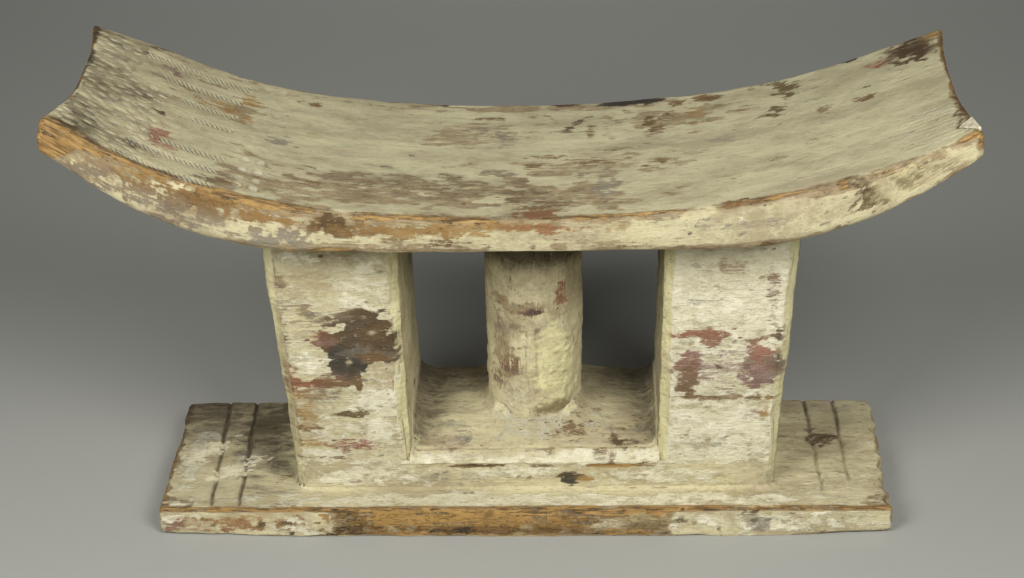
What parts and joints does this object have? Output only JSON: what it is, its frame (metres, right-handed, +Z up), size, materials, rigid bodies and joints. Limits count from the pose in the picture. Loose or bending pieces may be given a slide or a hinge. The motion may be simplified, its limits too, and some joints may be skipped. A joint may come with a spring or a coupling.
{
  "type": "headrest",
  "caption": "Carved wooden headrest in the form of a small stool: long curved seat on two broad posts and a round column, plinth and base slab, worn chalky paint.",
  "frame": {"origin": "middle of the base slab's underside", "axes": "+X along the seat towards its lower right tip, +Y from the decorated view's front to the back, +Z up"},
  "size_m": [0.36, 0.114, 0.1979],
  "materials": {
    "painted_wood": "aged chalky cream paint worn through to grey and orange-brown carved wood",
    "plaster": "dry white chalky filler"
  },
  "bodies": {
    "root": {"base_slab": "painted_wood", "plinth": "painted_wood", "left_post": "painted_wood", "right_post": "painted_wood", "centre_column": "painted_wood", "seat": "painted_wood", "corner_fill": "plaster"}
  },
  "joints": []
}
